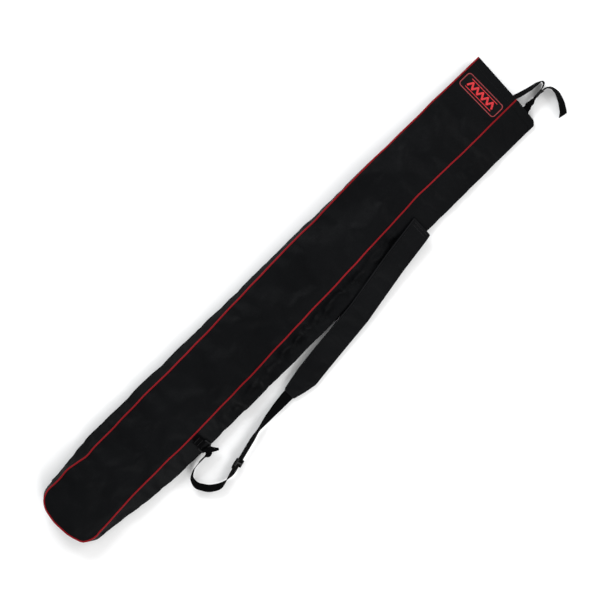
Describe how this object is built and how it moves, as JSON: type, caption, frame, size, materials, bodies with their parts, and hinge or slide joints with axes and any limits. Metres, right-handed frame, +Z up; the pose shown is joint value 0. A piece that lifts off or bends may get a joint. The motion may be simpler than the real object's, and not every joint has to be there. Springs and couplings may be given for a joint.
{
  "type": "ski bag",
  "caption": "Long slim fabric sleeve bag with piped seams, a padded adjustable shoulder strap and a webbing closure at its open mouth.",
  "frame": {"origin": "middle of the back panel's underside, halfway between the mouth and the closed end", "axes": "+X along the bag to the open mouth, +Y away from the shoulder strap, +Z up out of the front panel"},
  "size_m": [1.8052, 0.354, 0.0557],
  "materials": {
    "shell_fabric": "coated polyester, soft sheen",
    "red_piping": "woven cover over cord",
    "binding_tape": "grosgrain",
    "patch_cloth": "twill",
    "patch_border_thread": "embroidered",
    "patch_emblem_thread": "embroidered",
    "black_thread": "thread",
    "pad_fabric": "coated polyester",
    "pad_foam": "open cell",
    "pad_mesh": "spacer mesh",
    "webbing": "ribbed polypropylene",
    "hardware_plastic": "moulded, satin"
  },
  "bodies": {
    "bag": {"front_panel": "shell_fabric", "back_panel": "shell_fabric", "right_gusset": "shell_fabric", "left_gusset": "shell_fabric", "base_gusset": "shell_fabric", "front_piping": "red_piping", "back_piping": "red_piping", "mouth_hem": "binding_tape", "seam_bindings": "binding_tape", "logo_patch": "patch_cloth", "patch_border": "patch_border_thread", "patch_emblem": "patch_emblem_thread", "strap_anchor_patch": "shell_fabric", "ring_anchor_patch": "shell_fabric", "ring_anchor_tab": "webbing", "bar_tacks": "black_thread"},
    "shoulder_strap": {"shoulder_pad_face": "pad_fabric", "shoulder_pad_foam": "pad_foam", "shoulder_pad_backing": "pad_mesh", "shoulder_pad_binding": "binding_tape", "shoulder_webbing": "webbing", "anchor_ring": "hardware_plastic"},
    "slider": {"strap_slider": "hardware_plastic", "strap_end_loop": "webbing"},
    "closure": {"closure_strap": "webbing", "closure_short_strap": "webbing", "closure_tail": "webbing", "ladder_lock": "hardware_plastic"}
  },
  "joints": [
    {"name": "strap_swing", "type": "hinge", "parent": "bag", "child": "shoulder_strap", "pos_m": [-0.408, -0.112, 0.039], "axis": [-0.9987, -0.0504, -0.012], "range_deg": [0, 100]},
    {"name": "slider_slide", "type": "slide", "parent": "shoulder_strap", "child": "slider", "axis": [0.9659, 0.2589, 0], "range_m": [0, 0.055]},
    {"name": "closure_fold", "type": "hinge", "parent": "bag", "child": "closure", "pos_m": [0.8515, -0.05, 0.0295], "axis": [0, -1, 0], "range_deg": [0, 110]}
  ]
}
